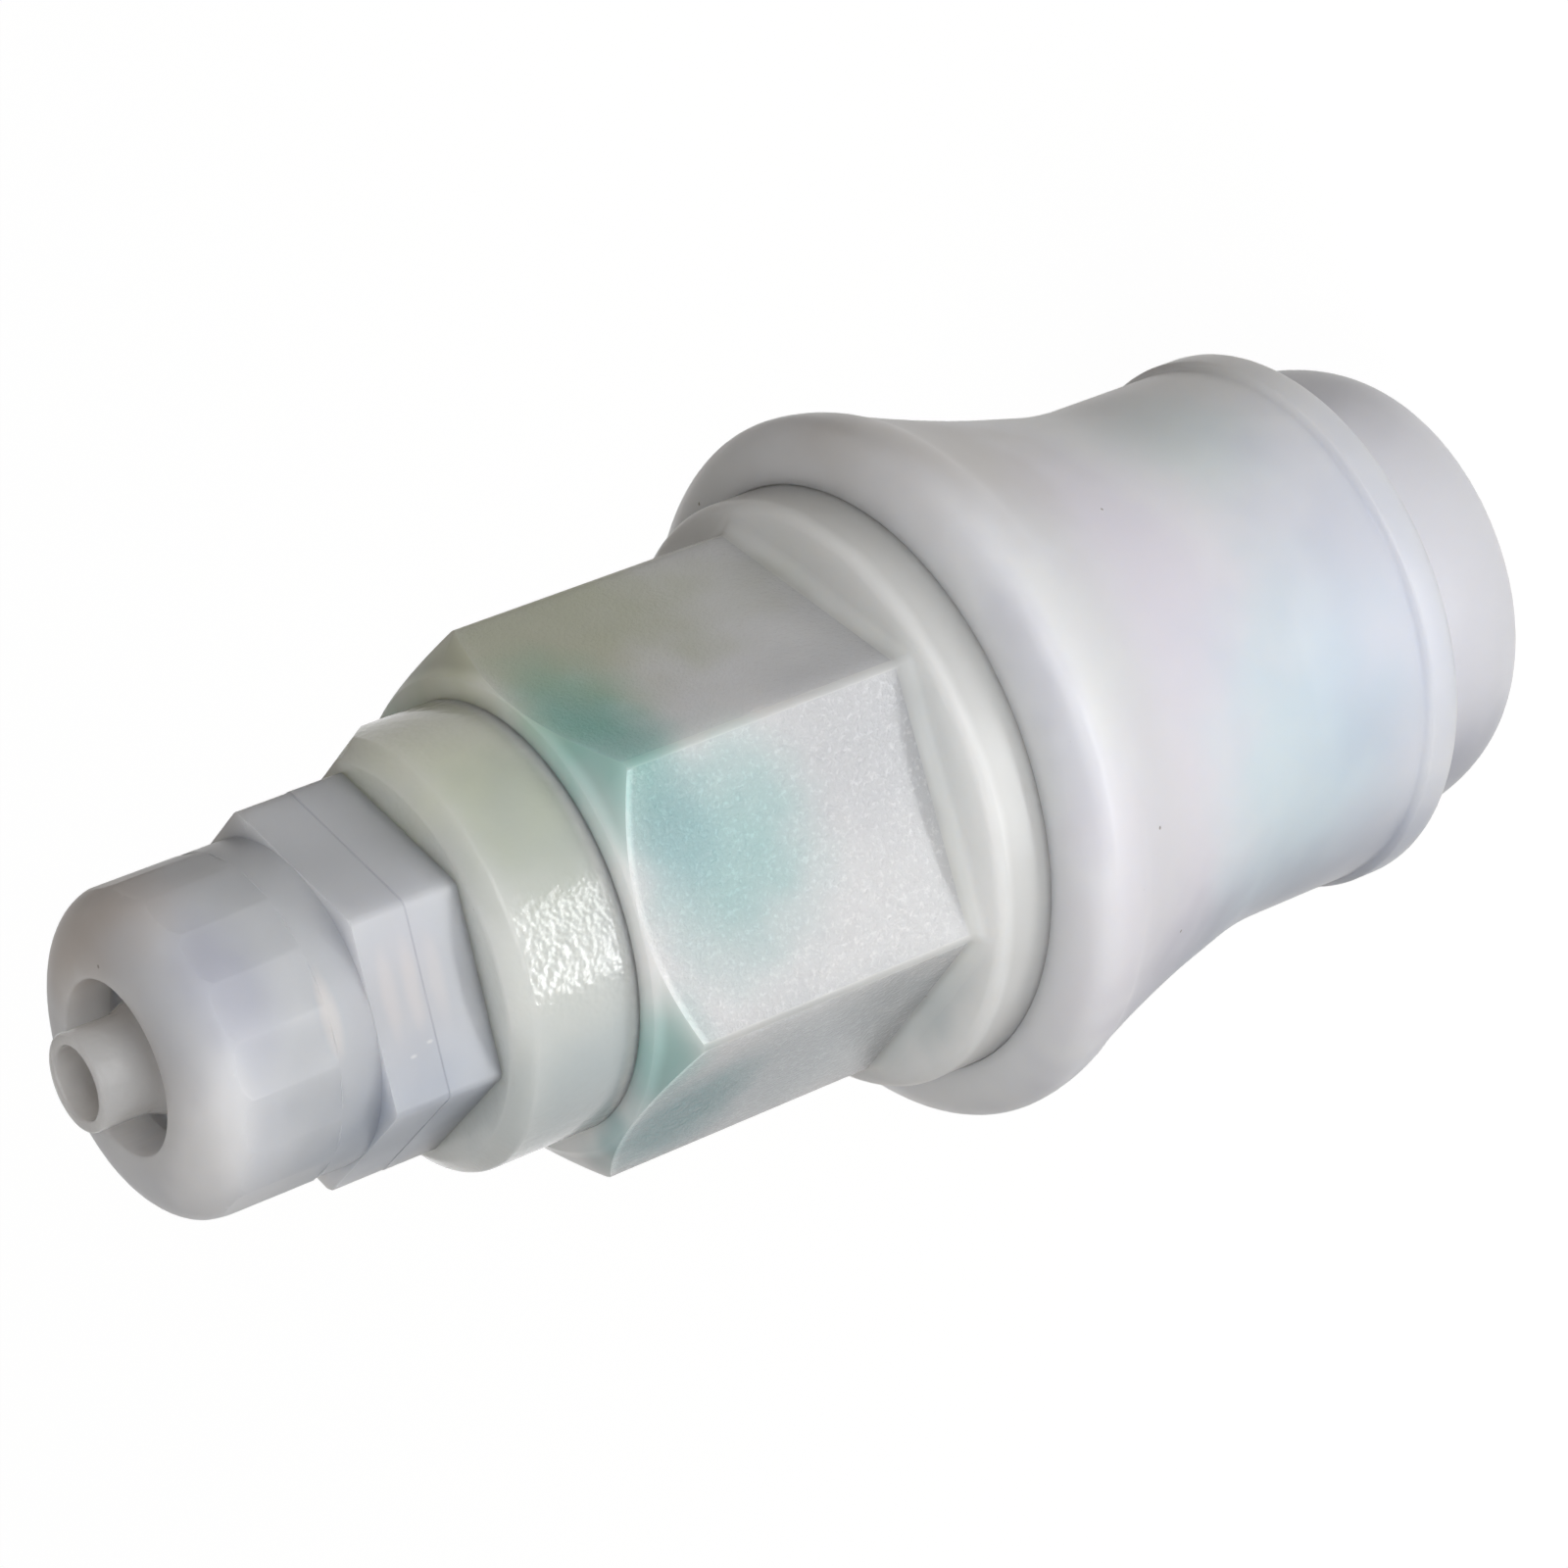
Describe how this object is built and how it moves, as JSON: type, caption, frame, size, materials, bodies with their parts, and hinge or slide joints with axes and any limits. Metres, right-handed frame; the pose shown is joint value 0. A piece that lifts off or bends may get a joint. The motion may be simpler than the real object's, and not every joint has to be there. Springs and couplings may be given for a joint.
{
  "type": "quick disconnect coupling socket",
  "caption": "Plastic quick disconnect coupling socket with a pull-back sleeve, wrench hexagon, check valve and a union nut that clamps a hose on its spigot.",
  "frame": {"origin": "centre of the mouth face that the coupling stands on", "axes": "+Z along the axis from the mouth towards the hose end; +X through a corner of both hexagons and through a locking ball"},
  "size_m": [0.0288, 0.0288, 0.0634],
  "materials": {
    "natural_pvdf": "moulded, fine satin",
    "sleeve_pvdf": "moulded, fine satin",
    "cream_pvdf": "moulded, satin with orange peel",
    "nut_pvdf": "moulded, fine satin",
    "teal_plastic": "moulded, satin",
    "teal_elastomer": "moulded",
    "spring_steel": "drawn wire",
    "ball_steel": "ground and polished"
  },
  "bodies": {
    "body": {"coupling_body": "natural_pvdf", "mouth_ring": "natural_pvdf", "plug_seal": "teal_elastomer", "sleeve_spring": "spring_steel", "valve_spring": "spring_steel", "valve_guide": "teal_plastic", "adapter_seal": "teal_elastomer", "hose_adapter": "cream_pvdf"},
    "sleeve": {"release_sleeve": "sleeve_pvdf"},
    "poppet": {"valve_poppet": "teal_plastic", "valve_seal": "teal_elastomer"},
    "nut": {"union_nut": "nut_pvdf"},
    "ball_1": {"locking_ball_1": "ball_steel"},
    "ball_2": {"locking_ball_2": "ball_steel"},
    "ball_3": {"locking_ball_3": "ball_steel"},
    "ball_4": {"locking_ball_4": "ball_steel"},
    "ball_5": {"locking_ball_5": "ball_steel"},
    "ball_6": {"locking_ball_6": "ball_steel"},
    "ball_7": {"locking_ball_7": "ball_steel"},
    "ball_8": {"locking_ball_8": "ball_steel"}
  },
  "joints": [
    {"name": "sleeve_slide", "type": "slide", "parent": "body", "child": "sleeve", "axis": [0, 0, 1], "range_m": [0, 0.003], "stiffness_N_per_m": 800, "springref_m": -0.004, "deforming": ["sleeve_spring"]},
    {"name": "valve_slide", "type": "slide", "parent": "body", "child": "poppet", "axis": [0, 0, 1], "range_m": [0, 0.004], "stiffness_N_per_m": 400, "springref_m": -0.005, "deforming": ["valve_spring"]},
    {"name": "nut_off", "type": "slide", "parent": "body", "child": "nut", "axis": [0, 0, 1], "range_m": [0, 0.02]},
    {"name": "ball_1_slide", "type": "slide", "parent": "body", "child": "ball_1", "axis": [1, 0, 0], "range_m": [0, 0.0006]},
    {"name": "ball_2_slide", "type": "slide", "parent": "body", "child": "ball_2", "axis": [0.7071, 0.7071, 0], "range_m": [0, 0.0006]},
    {"name": "ball_3_slide", "type": "slide", "parent": "body", "child": "ball_3", "axis": [0, 1, 0], "range_m": [0, 0.0006]},
    {"name": "ball_4_slide", "type": "slide", "parent": "body", "child": "ball_4", "axis": [-0.7071, 0.7071, 0], "range_m": [0, 0.0006]},
    {"name": "ball_5_slide", "type": "slide", "parent": "body", "child": "ball_5", "axis": [-1, 0, 0], "range_m": [0, 0.0006]},
    {"name": "ball_6_slide", "type": "slide", "parent": "body", "child": "ball_6", "axis": [-0.7071, -0.7071, 0], "range_m": [0, 0.0006]},
    {"name": "ball_7_slide", "type": "slide", "parent": "body", "child": "ball_7", "axis": [0, -1, 0], "range_m": [0, 0.0006]},
    {"name": "ball_8_slide", "type": "slide", "parent": "body", "child": "ball_8", "axis": [0.7071, -0.7071, 0], "range_m": [0, 0.0006]}
  ],
  "couplings": [
    {"joint": "ball_1_slide", "follows": "sleeve_slide", "ratio": 0.2},
    {"joint": "ball_2_slide", "follows": "sleeve_slide", "ratio": 0.2},
    {"joint": "ball_3_slide", "follows": "sleeve_slide", "ratio": 0.2},
    {"joint": "ball_4_slide", "follows": "sleeve_slide", "ratio": 0.2},
    {"joint": "ball_5_slide", "follows": "sleeve_slide", "ratio": 0.2},
    {"joint": "ball_6_slide", "follows": "sleeve_slide", "ratio": 0.2},
    {"joint": "ball_7_slide", "follows": "sleeve_slide", "ratio": 0.2},
    {"joint": "ball_8_slide", "follows": "sleeve_slide", "ratio": 0.2}
  ]
}
